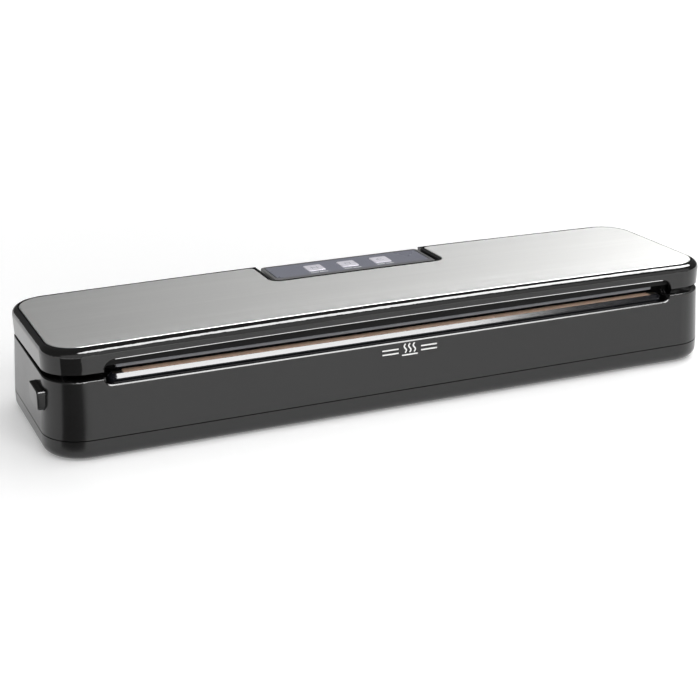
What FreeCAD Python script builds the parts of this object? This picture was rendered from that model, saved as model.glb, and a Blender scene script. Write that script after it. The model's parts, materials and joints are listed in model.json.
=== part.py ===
import FreeCAD, Part
import math
import os

from FreeCAD import Vector

# Slim countertop vacuum sealer.  Millimetres, +Z up, origin on the floor under the
# middle of the case, the bag slot facing -Y.  The lid parts are modelled shut and
# then all swung up by LID_REST_ANGLE, where the unlatched lid rests on its gasket.

# ---- case ----
LENGTH = 380.0
DEPTH = 102.0
CORNER_R = 20.5
FOOT_HEIGHT = 1.5
SEAM_Z = 12.2
SEAM_GAP = 0.5
BASE_TOP = 41.7
DRAFT = 1.88
WALL = 2.0
DECK_TOP = 40.5
DECK_UNDER = 38.3
PAN_FLOOR_TOP = 3.7
PAN_EDGE_R = 5.0

# ---- lid ----
LID_BOTTOM = 42.7
LID_TOP = 58.05
LID_TOP_FALL = 1.6
CROWN_R = 12000.0
LID_HALF_X = 188.6
LID_HALF_Y = 49.6
LID_UNDERCUT = 0.55
LID_EDGE_R = 4.0
LID_WALL = 2.2
LID_CEILING = 52.9
LID_REST_ANGLE = 1.5
STEEL_INSET = 5.1
STEEL_END_INSET = 3.8
STEEL_THICK = 0.6
STEEL_GROOVE = 0.7
STEEL_GROOVE_DEPTH = 1.3
STEEL_EDGE_R = 0.3
LINER_BOTTOM = 45.0
LINER_TOP = 47.0

# ---- rear notch and control console ----
NOTCH_X = 0.9
NOTCH_HALF_X = 50.7
NOTCH_FRONT_Y = 16.2
NOTCH_WALL = 3.4
NOTCH_CORNER_R = 5.0
NOTCH_EAR_R = 3.0
NOTCH_RIM = 1.9
CONSOLE_X = 1.95
CONSOLE_HALF_X = 48.65
CONSOLE_FRONT_Y = 19.0
CONSOLE_REAR_Y = 48.3
CONSOLE_TOP = 56.6
CONSOLE_WALL = 1.8
PANEL_THICK = 0.8
PANEL_FRONT_Y = 25.0
PANEL_GROOVE = 0.8
PANEL_RIM = 1.7
KEY_SIZE = 10.2
KEY_PITCH = 20.2
KEY_CENTRE_X = 1.5
KEY_CENTRE_Y = 35.0
KEY_PROUD = 0.4
KEY_GAP = 0.2
BOARD_Z = 48.0
BOARD_THICK = 1.6

# ---- hinge ----
HINGE_Y = 48.6
HINGE_Z = 42.4
HINGE_X = 102.0
KNUCKLE_R = 2.4
PIN_R = 1.2
LID_KNUCKLE_HALF = 9.7
BASE_KNUCKLE_LENGTH = 8.0
KNUCKLE_END_GAP = 0.3

# ---- bag slot, seal bar, vacuum channel ----
SLOT_HALF_X = 161.8
SLOT_BOTTOM = 38.3
SLOT_TOP = 49.5
SLOT_LOW_R = 4.2
SLOT_HIGH_R = 6.0
SLOT_CHAMFER = 0.5
SLOT_BEAD = 0.22
BAR_HALF_X = 158.5
BAR_FRONT_Y = -47.1
BAR_REAR_Y = -38.0
BAR_BOTTOM = 36.0
BAR_TOP = 42.2
BAR_END_R = 4.4
BAR_BEVEL = 1.65
BAR_NOSE_Z = 40.3
BAR_FOOT_Y = -45.6
BAR_FOOT_Z = 36.9
TAPE_HALF_X = 151.0
TAPE_FRONT_Y = -45.0
TAPE_REAR_Y = -40.4
TAPE_THICK = 0.2
RIBBON_HALF_X = 156.2
RIBBON_WIDTH = 3.0
STRIP_LEFT_X = -154.4
STRIP_RIGHT_X = 151.0
STRIP_REAR_Y = -38.2
STRIP_BOTTOM = 42.75
CHAMBER_HALF_X = 150.0
CHAMBER_FRONT_Y = -26.5
CHAMBER_REAR_Y = -7.5
CHAMBER_FLOOR = 32.5
PORT_Y = -12.0
PORT_Z = 34.3
GASKET_HALF_X = 160.0
GASKET_FRONT_Y = -34.5
GASKET_REAR_Y = 0.5
GASKET_WIDTH = 5.0
GASKET_R = 12.0
GASKET_MEET_Z = 42.6

# ---- release button on the left, one latch at each end, a rod that joins them ----
BUTTON_OUTER_X = -191.95
BUTTON_FRONT_Y = -36.0
BUTTON_REAR_Y = -17.4
BUTTON_BOTTOM = 25.1
BUTTON_TOP = 35.2
BUTTON_GAP = 0.35
SLIDER_BOTTOM = 32.85
SLIDER_THICK = 0.8
HOOK_BOTTOM = 31.9
HOOK_X = 177.6
ROD_Y = -18.0
ROD_Z = 28.0
ROD_R = 1.5
ROD_GUIDES = (-100.0, 0.0, 100.0)

# ---- vacuum pump ----
PUMP_Y = 24.0
PUMP_Z = 21.0
MOTOR_R = 13.8
MOTOR_X0 = -112.0
MOTOR_X1 = -74.0
SHAFT_R = 1.5

# ---- power inlet ----
INLET_X = 150.0
INLET_Z = 24.0
INLET_FACE_Y = 50.2
INLET_PIN_X = 4.3

# ---- lid switch ----
SWITCH_BOTTOM = 21.0

# ---- screws ----
REAR_SCREWS = [(-174.0, 36.0), (174.0, 36.0), (-66.0, 42.0), (72.0, 42.0)]
FRONT_SCREWS = [(-140.0, -41.0), (0.0, -41.0), (140.0, -41.0)]
CASE_SCREWS = REAR_SCREWS + FRONT_SCREWS
LID_SCREWS = [(-172.0, 36.0), (-125.0, 7.5), (-40.0, 7.5), (40.0, 7.5), (125.0, 7.5), (172.0, 36.0)]
FEET = [(-160.0, -28.0), (160.0, -28.0), (-160.0, 28.0), (160.0, 28.0)]
FOOT_R = 6.5


# ---------------------------------------------------------------- helpers

def place(axis, u, v, w):
    """A point from two coordinates across an axis and one along it."""
    if axis == "X":
        return Vector(w, u, v)
    if axis == "Y":
        return Vector(u, w, v)
    return Vector(u, v, w)


def outline(points, radii, axis="Z", level=0.0):
    """A closed flat wire through the points, each corner rounded by its radius."""
    starts, ends, middles = [], [], []
    count = len(points)
    for i, (point, radius) in enumerate(zip(points, radii)):
        corner = Vector(point[0], point[1], 0)
        before = Vector(*points[i - 1], 0) - corner
        after = Vector(*points[(i + 1) % count], 0) - corner
        before.normalize()
        after.normalize()
        if radius <= 0:
            starts.append(corner)
            middles.append(None)
            ends.append(corner)
            continue
        half = before.getAngle(after) / 2.0
        inward = before + after
        inward.normalize()
        centre = corner + inward * (radius / math.sin(half))
        reach = radius / math.tan(half)
        starts.append(corner + before * reach)
        middles.append(centre - inward * radius)
        ends.append(corner + after * reach)
    edges = []
    for i in range(count):
        start, middle, end, following = starts[i], middles[i], ends[i], starts[(i + 1) % count]
        if middle is not None:
            arc = [place(axis, p.x, p.y, level) for p in (start, middle, end)]
            edges.append(Part.Arc(*arc).toShape())
        if end.distanceToPoint(following) > 1e-6:
            line = [place(axis, p.x, p.y, level) for p in (end, following)]
            edges.append(Part.LineSegment(*line).toShape())
    return Part.Wire(edges)


def rectangle(x0, x1, y0, y1):
    return [(x0, y0), (x1, y0), (x1, y1), (x0, y1)]


def extrude(points, radii, low, high, axis="Z"):
    """A straight solid with the rounded outline, from low to high along the axis."""
    face = Part.Face(outline(points, radii, axis, low))
    return face.extrude(place(axis, 0, 0, high - low))


def block(x0, x1, y0, y1, z0, z1, r=0.0, axis="Z"):
    """A box whose edges along the axis are rounded by r."""
    spans = {"X": (y0, y1, z0, z1, x0, x1), "Y": (x0, x1, z0, z1, y0, y1), "Z": (x0, x1, y0, y1, z0, z1)}
    a0, a1, b0, b1, low, high = spans[axis]
    return extrude(rectangle(a0, a1, b0, b1), [r] * 4, low, high, axis)


def rod(x, y, z, r, length, axis="Z"):
    """A cylinder that starts at the point and runs along the positive axis."""
    return Part.makeCylinder(r, length, Vector(x, y, z), place(axis, 0, 0, 1))


def tapered(half_x0, half_y0, r0, z0, half_x1, half_y1, r1, z1):
    """A rounded box, centred in plan, that changes size evenly with height."""
    low = outline(rectangle(-half_x0, half_x0, -half_y0, half_y0), [r0] * 4, "Z", z0)
    high = outline(rectangle(-half_x1, half_x1, -half_y1, half_y1), [r1] * 4, "Z", z1)
    return Part.makeLoft([low, high], True, True)


def crown_drop(x):
    return CROWN_R - math.sqrt(CROWN_R ** 2 - x ** 2)


def crowned(half_x, y0, y1, low, top):
    """A block whose top is a very shallow arch along X, highest in the middle."""
    side = top - crown_drop(half_x)
    arch = Part.Arc(Vector(half_x, y0, side), Vector(0, y0, top), Vector(-half_x, y0, side)).toShape()
    corners = [(-half_x, side), (-half_x, low), (half_x, low), (half_x, side)]
    sides = Part.makePolygon([Vector(x, y0, z) for x, z in corners])
    face = Part.Face(Part.Wire(sides.Edges + [arch]))
    return face.extrude(Vector(0, y1 - y0, 0))


def under_lid_top(depth):
    """The space below the lid's top face or a level that deep, falling towards the front."""
    space = crowned(200, -65, 65, 38, LID_TOP - depth)
    fall = math.degrees(math.atan(LID_TOP_FALL / (2 * LID_HALF_Y)))
    space.rotate(Vector(0, LID_HALF_Y, LID_TOP), Vector(1, 0, 0), fall)
    return space


def round_top_edges(solid, radius, above):
    """Rounds the edges that lie wholly above a height."""
    edges = [e for e in solid.Edges if min(v.Z for v in e.Vertexes) > above]
    return solid.makeFillet(radius, edges)


def join(shapes):
    return shapes[0].multiFuse(shapes[1:]).removeSplitter() if len(shapes) > 1 else shapes[0]


def cut(shape, cutters):
    return shape.cut(cutters)


def mirror_x(shape):
    return shape.mirror(Vector(0, 0, 0), Vector(1, 0, 0))


def both_sides(shape):
    return Part.makeCompound([shape, mirror_x(shape)])


def ring(outer, inner):
    return outer.cut(inner)


def tube(points, radius, bore=0.0):
    """A round tube along straight runs joined by tangent arcs, as wide as the runs allow."""
    knots = [Vector(*p) for p in points]
    edges = []
    last = knots[0]
    for before, corner, after in zip(knots, knots[1:], knots[2:]):
        back = before - corner
        ahead = after - corner
        shorter = min(back.Length, ahead.Length)
        back.normalize()
        ahead.normalize()
        half = back.getAngle(ahead) / 2.0
        reach = 0.45 * shorter
        bend = reach * math.tan(half)
        inward = back + ahead
        inward.normalize()
        start = corner + back * reach
        end = corner + ahead * reach
        middle = corner + inward * (bend / math.sin(half) - bend)
        edges.append(Part.LineSegment(last, start).toShape())
        edges.append(Part.Arc(start, middle, end).toShape())
        last = end
    edges.append(Part.LineSegment(last, knots[-1]).toShape())
    spine = Part.Wire(edges)
    direction = knots[1] - knots[0]

    def sweep(r):
        profile = Part.Wire(Part.makeCircle(r, knots[0], direction))
        return spine.makePipeShell([profile], True, True)

    return sweep(radius).cut(sweep(bore)) if bore > 0 else sweep(radius)


def base_half(z, inset=0.0):
    """Half length, half depth and corner radius of the base's outside at a height."""
    lean = DRAFT * (z - SEAM_Z) / (BASE_TOP - SEAM_Z) + inset
    return LENGTH / 2 - lean, DEPTH / 2 - lean, CORNER_R - lean


def base_body(z0, z1, inset=0.0):
    return tapered(*base_half(z0, inset), z0, *base_half(z1, inset), z1)


def lid_outline(inset, notch_inset, ear_r, z0, z1, end_inset=None):
    """The lid's plan, a rounded rectangle with the console's notch in its rear edge."""
    hx = LID_HALF_X - (inset if end_inset is None else end_inset)
    hy = LID_HALF_Y - inset
    left = NOTCH_X - NOTCH_HALF_X - notch_inset
    right = NOTCH_X + NOTCH_HALF_X + notch_inset
    ny = NOTCH_FRONT_Y - notch_inset
    corner = CORNER_R - inset
    points = [(-hx, -hy), (hx, -hy), (hx, hy), (right, hy), (right, ny), (left, ny), (left, hy), (-hx, hy)]
    inner = NOTCH_CORNER_R + notch_inset
    return extrude(points, [corner, corner, corner, ear_r, inner, inner, ear_r, corner], z0, z1)


def knuckle_zone(x0, x1, r):
    """A cylinder about the hinge axis between two places, on both hinges."""
    return both_sides(rod(x0, HINGE_Y, HINGE_Z, r, x1 - x0, "X"))


def open_slightly(shape):
    """Swings a part of the shut lid up to where the unlatched lid rests."""
    moved = shape.copy()
    moved.rotate(Vector(0, HINGE_Y, HINGE_Z), Vector(-1, 0, 0), LID_REST_ANGLE)
    return moved


# ---------------------------------------------------------------- base

def base_shell():
    shell = round_top_edges(base_body(SEAM_Z, BASE_TOP), 0.8, BASE_TOP - 0.1)
    shell = cut(shell, [base_body(SEAM_Z, DECK_UNDER, WALL)])
    hx, hy, r = base_half(BASE_TOP, WALL + 0.6)
    shell = cut(shell, [block(-hx, hx, -hy, hy, DECK_TOP, BASE_TOP + 1, r)])
    channel = block(-161.5, 161.5, -48.2, -35.5, 33.8, DECK_TOP)
    chamber = block(-CHAMBER_HALF_X - WALL, CHAMBER_HALF_X + WALL, CHAMBER_FRONT_Y - WALL,
                    CHAMBER_REAR_Y + WALL, CHAMBER_FLOOR - WALL, DECK_TOP, 5.0)
    bosses = [rod(x, y, 10.0, 3.8, DECK_UNDER - 9.5) for x, y in REAR_SCREWS]
    bosses += [rod(x, y, 10.0, 3.8, 24.5) for x, y in FRONT_SCREWS]
    spring_rib = block(-162.0, -160.5, -30, -22, 25, DECK_UNDER + 0.5)
    shell = join([shell, channel, chamber, spring_rib] + bosses + rod_guides() + base_knuckles())
    pilot_holes = [rod(x, y, 9.0, 1.5, 18.0) for x, y in CASE_SCREWS]
    gasket_groove = gasket_ring(0.2, DECK_TOP - 1.5, DECK_TOP + 1)
    console_hole = block(-40, 40, 27, 44, DECK_UNDER - 1, DECK_TOP + 1, 3.0)
    return cut(shell, [bar_pocket(), chamber_pocket(), slot_cutter(), slot_chamfer(),
                       gasket_groove, console_hole, console_seat(), inlet_hole(),
                       at_both_latches(hook_hole()), button_hole(), chamber_port(), pin_bore(PIN_R),
                       lid_knuckle_clearance()] + terminal_holes() + pilot_holes)


def console_seat():
    """The console stands on the deck, so the rim round the deck stops at its rear corners."""
    return block(CONSOLE_X - CONSOLE_HALF_X - 0.1, CONSOLE_X + CONSOLE_HALF_X + 0.1,
                 CONSOLE_FRONT_Y - 0.1, CONSOLE_REAR_Y + 0.1, DECK_TOP, BASE_TOP + 1, 3.1)


def rod_guides():
    """Forks under the vacuum chamber that the release rod slides in."""
    gap = ROD_R + 0.4
    guides = []
    for x in ROD_GUIDES:
        plate = block(x - 1, x + 1, ROD_Y - 4, ROD_Y + 4, ROD_Z - 3, CHAMBER_FLOOR - WALL + 0.5)
        guides.append(plate.cut(block(x - 2, x + 2, ROD_Y - gap, ROD_Y + gap, ROD_Z - 4, ROD_Z + gap)))
    return guides


def base_knuckles():
    inner = HINGE_X - LID_KNUCKLE_HALF - KNUCKLE_END_GAP - BASE_KNUCKLE_LENGTH
    outer = HINGE_X + LID_KNUCKLE_HALF + KNUCKLE_END_GAP
    knuckles = []
    for start in (inner, outer):
        barrel = rod(start, HINGE_Y, HINGE_Z, KNUCKLE_R, BASE_KNUCKLE_LENGTH, "X")
        web = block(start, start + BASE_KNUCKLE_LENGTH, HINGE_Y - KNUCKLE_R, HINGE_Y + 0.6,
                    DECK_UNDER + 0.5, HINGE_Z)
        knuckles += [barrel, web, mirror_x(barrel), mirror_x(web)]
    return knuckles


def pin_bore(r):
    reach = LID_KNUCKLE_HALF + KNUCKLE_END_GAP + BASE_KNUCKLE_LENGTH + 1
    return knuckle_zone(HINGE_X - reach, HINGE_X + reach, r)


def lid_knuckle_clearance():
    reach = LID_KNUCKLE_HALF + KNUCKLE_END_GAP
    return knuckle_zone(HINGE_X - reach, HINGE_X + reach, KNUCKLE_R + 0.5)


def bar_pocket():
    return block(-160.5, 160.5, -47.35, -37.5, BAR_BOTTOM, DECK_TOP + 2)


def chamber_pocket():
    return block(-CHAMBER_HALF_X, CHAMBER_HALF_X, CHAMBER_FRONT_Y, CHAMBER_REAR_Y,
                 CHAMBER_FLOOR, DECK_TOP + 1, 6.0)


def slot_cutter():
    return block(-SLOT_HALF_X, SLOT_HALF_X, -DEPTH, BAR_FRONT_Y - 0.2, SLOT_BOTTOM, 48.0, SLOT_LOW_R, "Y")


def slot_chamfer():
    """Bevels the outer edge of the base's half of the slot."""
    face = base_half(SLOT_BOTTOM)[1]
    wires = []
    for grow in (2 * SLOT_CHAMFER, 0):
        plan = rectangle(-SLOT_HALF_X - grow, SLOT_HALF_X + grow, SLOT_BOTTOM - grow, 48.0)
        r = SLOT_LOW_R + grow
        wires.append(outline(plan, [r, r, 0, 0], "Y", -face - grow + SLOT_CHAMFER))
    return Part.makeLoft(wires, True, True)


def lid_slot():
    """The lid's half of the bag slot, its top arched like the lid and rounded at both ends."""
    return slot_arch(0, -DEPTH, -LID_HALF_Y + LID_WALL + LID_UNDERCUT + 0.1, 30)


def slot_arch(grow, y0, y1, low):
    """A block with the outline of the lid's half of the slot, or that much larger."""
    arch = crowned(SLOT_HALF_X + grow, y0, y1, low, SLOT_TOP + grow)
    ends = [e for e in arch.Edges if min(v.Z for v in e.Vertexes) > 45
            and abs(e.Vertexes[0].X - e.Vertexes[1].X) < 0.1]
    return arch.makeFillet(SLOT_HIGH_R + grow, ends)


def slot_bead():
    """A fine bevelled bead that stands out round the slot's upper edge."""
    face = -LID_HALF_Y + LID_UNDERCUT * (LID_TOP + 2 - SLOT_TOP) / (LID_TOP + 2 - LID_BOTTOM)
    bead = slot_arch(2 * SLOT_BEAD, face - SLOT_BEAD, face + 1, 30)
    outer = [e for e in bead.Edges
             if max(v.Y for v in e.Vertexes) < face and max(v.Z for v in e.Vertexes) > 35]
    return bead.makeChamfer(1.9 * SLOT_BEAD, outer).cut(block(-200, 200, -60, 0, 20, LID_BOTTOM))


def chamber_port():
    return rod(-CHAMBER_HALF_X - 3, PORT_Y, PORT_Z, 1.5, 4, "X")


def gasket_ring(grow, z0, z1):
    outer = block(-GASKET_HALF_X - grow, GASKET_HALF_X + grow, GASKET_FRONT_Y - grow,
                  GASKET_REAR_Y + grow, z0, z1, GASKET_R + grow)
    w = GASKET_WIDTH + grow
    inner = block(-GASKET_HALF_X + w, GASKET_HALF_X - w, GASKET_FRONT_Y + w, GASKET_REAR_Y - w,
                  z0, z1, GASKET_R - w)
    return ring(outer, inner)


def inlet_hole():
    return block(INLET_X - 11.8, INLET_X + 11.8, 44, DEPTH / 2 + 1, INLET_Z - 7.3, INLET_Z + 7.3, 3.2, "Y")


def at_both_latches(shape):
    """A left-hand latch's shape, and the same again at the right-hand latch."""
    return Part.makeCompound([shape, shape.translated(Vector(2 * HOOK_X, 0, 0))])


def hook_hole():
    return block(-HOOK_X - 1.9, -HOOK_X + 3.6, -32.0, -21.5, DECK_UNDER - 1, DECK_TOP + 1, 1.0)


def button_hole():
    g = BUTTON_GAP
    return block(-195, -180, BUTTON_FRONT_Y - g, BUTTON_REAR_Y + g, BUTTON_BOTTOM - g,
                 BUTTON_TOP + g, 2.3, "X")


def terminal_holes():
    return [block(x - 1.7, x + 1.7, -44.5, -41.1, 30, BAR_TOP + 1) for x in (-154.7, 154.7)]


def bottom_pan():
    top = SEAM_Z - SEAM_GAP
    plan = rectangle(-LENGTH / 2, LENGTH / 2, -DEPTH / 2, DEPTH / 2)
    pan = extrude(plan, [CORNER_R] * 4, FOOT_HEIGHT, top)
    low = [e for e in pan.Edges if max(v.Z for v in e.Vertexes) < FOOT_HEIGHT + 0.1]
    pan = pan.makeFillet(PAN_EDGE_R, low)
    hx, hy, r = base_half(SEAM_Z, WALL + 0.3)
    cavity = block(-hx + 1.4, hx - 1.4, -hy + 1.4, hy - 1.4, PAN_FLOOR_TOP, top + 4, r - 1.4)
    lip = block(-hx, hx, -hy, hy, top - 1, SEAM_Z + 1.6, r)
    supports = [rod(x, y, 2.5, 4.2, 7.3) for x, y in CASE_SCREWS]
    supports += [rod(x, y, 2.5, 3.0, 6.5) for x in (-50, 60) for y in (9, 38)]
    supports += [rod(x, y, 2.5, FOOT_R + 2.0, 2.8) for x, y in FEET]
    supports += [block(x, x + 2, PUMP_Y - 12, PUMP_Y + 12, 2.5, 12) for x in (-106, -84)]
    supports += [block(-140, -114, PUMP_Y - 13, PUMP_Y + 13, 2.5, 6.0)]
    supports += [block(86, 126, 15, 31, 2.5, 5.0)]
    supports += [block(176, 183, -28, -24, 2.5, SWITCH_BOTTOM)]
    cradle = rod(MOTOR_X0 - 1, PUMP_Y, PUMP_Z, MOTOR_R + 0.1, MOTOR_X1 - MOTOR_X0 + 2, "X")
    heads = [rod(x, y, 0, 3.3, 6.5) for x, y in CASE_SCREWS]
    shanks = [rod(x, y, 0, 1.6, 12) for x, y in CASE_SCREWS]
    foot_seats = [rod(x, y, 0, FOOT_R + 0.1, FOOT_HEIGHT + 1.5) for x, y in FEET]
    pan = join([join([pan, lip]).cut(cavity)] + supports)
    return cut(pan, [cradle] + heads + shanks + foot_seats)


def rubber_feet():
    foot = rod(0, 0, 0, FOOT_R, FOOT_HEIGHT + 1.5)
    foot = foot.makeFillet(0.5, [e for e in foot.Edges if max(v.Z for v in e.Vertexes) < 0.1])
    return Part.makeCompound([foot.translated(Vector(x, y, 0)) for x, y in FEET])


def case_screws():
    screws = []
    for x, y in CASE_SCREWS:
        head = rod(x, y, 4.1, 3.0, 2.4)
        slot = join([block(x - 1.8, x + 1.8, y - 0.35, y + 0.35, 4, 5.2),
                     block(x - 0.35, x + 0.35, y - 1.8, y + 1.8, 4, 5.2)])
        screws.append(join([head, rod(x, y, 6.5, 1.4, 16)]).cut(slot))
    return Part.makeCompound(screws)


# ---------------------------------------------------------------- sealing parts

def seal_bar():
    """The bar's top narrows above its nose, and its front leans back below it."""
    wires = []
    for inset, z in ((0, BAR_NOSE_Z), (BAR_BEVEL, BAR_TOP)):
        plan = rectangle(-BAR_HALF_X + inset, BAR_HALF_X - inset, BAR_FRONT_Y + inset, BAR_REAR_Y - inset)
        wires.append(outline(plan, [BAR_END_R - inset] * 4, "Z", z))
    bar = join([block(-BAR_HALF_X, BAR_HALF_X, BAR_FRONT_Y, BAR_REAR_Y, BAR_BOTTOM, BAR_NOSE_Z, BAR_END_R),
                Part.makeLoft(wires, True, True)])
    nose = [(BAR_FRONT_Y - 1, BAR_FOOT_Z), (BAR_FOOT_Y, BAR_FOOT_Z), (BAR_FRONT_Y, BAR_NOSE_Z),
            (BAR_FRONT_Y - 1, BAR_NOSE_Z)]
    undercut = extrude(nose, [0, 0, 0, 0], -BAR_HALF_X - 1, BAR_HALF_X + 1, "X")
    middle = (TAPE_FRONT_Y + TAPE_REAR_Y) / 2
    groove = block(-RIBBON_HALF_X, RIBBON_HALF_X, middle - RIBBON_WIDTH / 2, middle + RIBBON_WIDTH / 2,
                   BAR_TOP - 0.2, BAR_TOP + 1)
    return cut(bar, [groove, undercut] + terminal_holes())


def heating_ribbon():
    middle = (TAPE_FRONT_Y + TAPE_REAR_Y) / 2
    return block(-RIBBON_HALF_X, RIBBON_HALF_X, middle - RIBBON_WIDTH / 2, middle + RIBBON_WIDTH / 2,
                 BAR_TOP - 0.2, BAR_TOP)


def sealing_tape():
    return block(-TAPE_HALF_X, TAPE_HALF_X, TAPE_FRONT_Y, TAPE_REAR_Y, BAR_TOP, BAR_TOP + TAPE_THICK)


def heater_terminals():
    tabs = [block(x - 1.5, x + 1.5, -44.3, -41.3, 27, BAR_TOP - 0.2) for x in (-154.7, 154.7)]
    return Part.makeCompound(tabs)


def lower_gasket():
    body = gasket_ring(0, DECK_TOP - 1.5, GASKET_MEET_Z - 0.2)
    return round_top_edges(body, 1.2, GASKET_MEET_Z - 0.4)


def vacuum_nozzle():
    x = -CHAMBER_HALF_X - WALL
    flange = rod(x - 2, PORT_Y, PORT_Z, 3.6, 2, "X")
    barb = rod(x - 11, PORT_Y, PORT_Z, 1.95, 9.5, "X")
    return join([flange, barb]).cut(rod(x - 12, PORT_Y, PORT_Z, 1.2, 13, "X"))


# ---------------------------------------------------------------- console

def key_centres():
    return [(KEY_CENTRE_X + i * KEY_PITCH, KEY_CENTRE_Y) for i in (-1, 0, 1)]


def key_openings(z0, z1):
    half = KEY_SIZE / 2 + KEY_GAP
    return [block(x - half, x + half, y - half, y + half, z0, z1, 1.2) for x, y in key_centres()]


def console_area(inset, front, z0, z1, r):
    """A block inside the console's sides and rear by an inset, from a given front."""
    return block(CONSOLE_X - CONSOLE_HALF_X + inset, CONSOLE_X + CONSOLE_HALF_X - inset,
                 front, CONSOLE_REAR_Y - inset, z0, z1, r)


def board_posts(z, r, height):
    return [rod(CONSOLE_X + dx, y, z, r, height) for dx in (-42.5, 42.5) for y in (27.5, 43.0)]


def console_housing():
    housing = console_area(0, CONSOLE_FRONT_Y, DECK_TOP, CONSOLE_TOP, 3.0)
    housing = round_top_edges(housing, 0.6, CONSOLE_TOP - 0.1)
    inside = console_area(CONSOLE_WALL, CONSOLE_FRONT_Y + CONSOLE_WALL, DECK_TOP - 1,
                          CONSOLE_TOP - PANEL_THICK - 1.0, 1.2)
    posts = board_posts(BOARD_Z + BOARD_THICK, 2.0, CONSOLE_TOP - PANEL_THICK - BOARD_Z - BOARD_THICK - 0.5)
    housing = join([housing.cut(inside)] + posts)
    recess = console_area(PANEL_RIM, PANEL_FRONT_Y, CONSOLE_TOP - PANEL_THICK, CONSOLE_TOP + 1, 2.0)
    return cut(housing, [recess] + key_openings(50, CONSOLE_TOP))


def panel_overlay():
    panel = console_area(PANEL_RIM + PANEL_GROOVE, PANEL_FRONT_Y, CONSOLE_TOP - PANEL_THICK, CONSOLE_TOP, 1.5)
    return cut(panel, key_openings(50, CONSOLE_TOP + 1))


def key_cap(x, y):
    half = KEY_SIZE / 2
    top = CONSOLE_TOP + KEY_PROUD
    cap = block(x - half, x + half, y - half, y + half, 53.6, top, 1.0)
    cap = round_top_edges(cap, 0.25, top - 0.1)
    flange = block(x - half - 1, x + half + 1, y - half - 1, y + half + 1, 53.6, 54.5, 1.0)
    return join([cap, flange, rod(x, y, 53.2, 1.6, 0.6)])


def key_board():
    board = console_area(CONSOLE_WALL + 0.7, 24.5, BOARD_Z, BOARD_Z + BOARD_THICK, 1.0)
    return cut(board, board_posts(BOARD_Z - 1, 1.1, 4))


def key_switches():
    switches = []
    for x, y in key_centres():
        base = BOARD_Z + BOARD_THICK
        body = block(x - 3, x + 3, y - 3, y + 3, base, base + 2.2, 0.4)
        switches.append(join([body, rod(x, y, base + 2, 1.6, 1.0)]))
    return Part.makeCompound(switches)


# ---------------------------------------------------------------- release button and latches

def release_button():
    cap = block(BUTTON_OUTER_X, -185.0, BUTTON_FRONT_Y, BUTTON_REAR_Y, BUTTON_BOTTOM, BUTTON_TOP, 2.0, "X")
    outer = [e for e in cap.Edges if max(v.X for v in e.Vertexes) < BUTTON_OUTER_X + 0.1]
    cap = cap.makeFillet(0.8, outer)
    flange = block(-185.4, -184.2, BUTTON_FRONT_Y, -15.5, 23.6, 36.7)
    stem = block(-184.3, -181.8, -30, -22, 27, SLIDER_BOTTOM)
    return join([cap, flange, stem])


def latch_slider(x0, x1, tab_x):
    """A flat plate with a window for a hook, and a tab that the release rod is pressed into."""
    plate = block(x0, x1, -34, -19, SLIDER_BOTTOM, SLIDER_BOTTOM + SLIDER_THICK, 1.0)
    tab = block(tab_x, tab_x + 0.8, -29, ROD_Y + 2.2, 26, SLIDER_BOTTOM + 0.4)
    bracket = block(min(tab_x, x1 - 3), tab_x + 0.8, -19.5, ROD_Y + 2.2, SLIDER_BOTTOM,
                    SLIDER_BOTTOM + SLIDER_THICK)
    window = at_both_latches(block(-HOOK_X - 3.6, -HOOK_X + 1.2, -31.8, -21.8, SLIDER_BOTTOM - 1,
                                   SLIDER_BOTTOM + 2))
    return cut(join([plate, tab, bracket]), [window, rod(tab_x - 1, ROD_Y, ROD_Z, ROD_R, 3, "X")])


def latch_slider_left():
    return latch_slider(-HOOK_X - 6.6, -170.0, -170.8)


def latch_slider_right():
    return latch_slider(171.0, 183.4, 171.0)


def release_rod():
    return rod(-170.8, ROD_Y, ROD_Z, ROD_R, 342.6, "X")


def release_spring():
    helix = Part.makeHelix(1.5, 7.5, 2.2)
    helix.rotate(Vector(0, 0, 0), Vector(0, 1, 0), 90)
    helix.translate(Vector(-169.7, -26, 29.4))
    start = helix.Edges[0].Vertexes[0].Point
    tangent = helix.Edges[0].tangentAt(helix.Edges[0].FirstParameter)
    profile = Part.Wire(Part.makeCircle(0.3, start, tangent))
    return Part.Wire(helix.Edges).makePipeShell([profile], True, True)


# ---------------------------------------------------------------- pump, electrics

def pump_motor():
    can = rod(MOTOR_X0, PUMP_Y, PUMP_Z, MOTOR_R, MOTOR_X1 - MOTOR_X0, "X")
    can = can.makeFillet(1.5, [e for e in can.Edges if e.Length > MOTOR_R * 6])
    neck = rod(MOTOR_X1 - 0.5, PUMP_Y, PUMP_Z, 5.0, 2.5, "X")
    bore = rod(MOTOR_X0 - 1, PUMP_Y, PUMP_Z, SHAFT_R + 0.05, 32, "X")
    terminals = [block(MOTOR_X1 - 1, MOTOR_X1 + 4, y - 1.2, y + 1.2, PUMP_Z - 9, PUMP_Z - 8.4)
                 for y in (PUMP_Y - 8, PUMP_Y + 8)]
    return join([can, neck] + terminals).cut(bore)


def motor_shaft():
    return rod(-116.0, PUMP_Y, PUMP_Z, SHAFT_R, 33.0, "X")


def crank_disc():
    disc = rod(-116.6, PUMP_Y, PUMP_Z, 7.0, 3.6, "X").cut(rod(-116.0, PUMP_Y, PUMP_Z, SHAFT_R, 9, "X"))
    return join([disc, rod(-120.6, PUMP_Y + 3.5, PUMP_Z, 1.5, 4.2, "X")])


def pump_crankcase():
    case = block(-142, -112, PUMP_Y - 15, PUMP_Y + 15, 6.0, 29.0, 2.0)
    return case.cut(rod(-122, PUMP_Y, PUMP_Z - 1, 8.0, 11, "X"))


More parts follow.
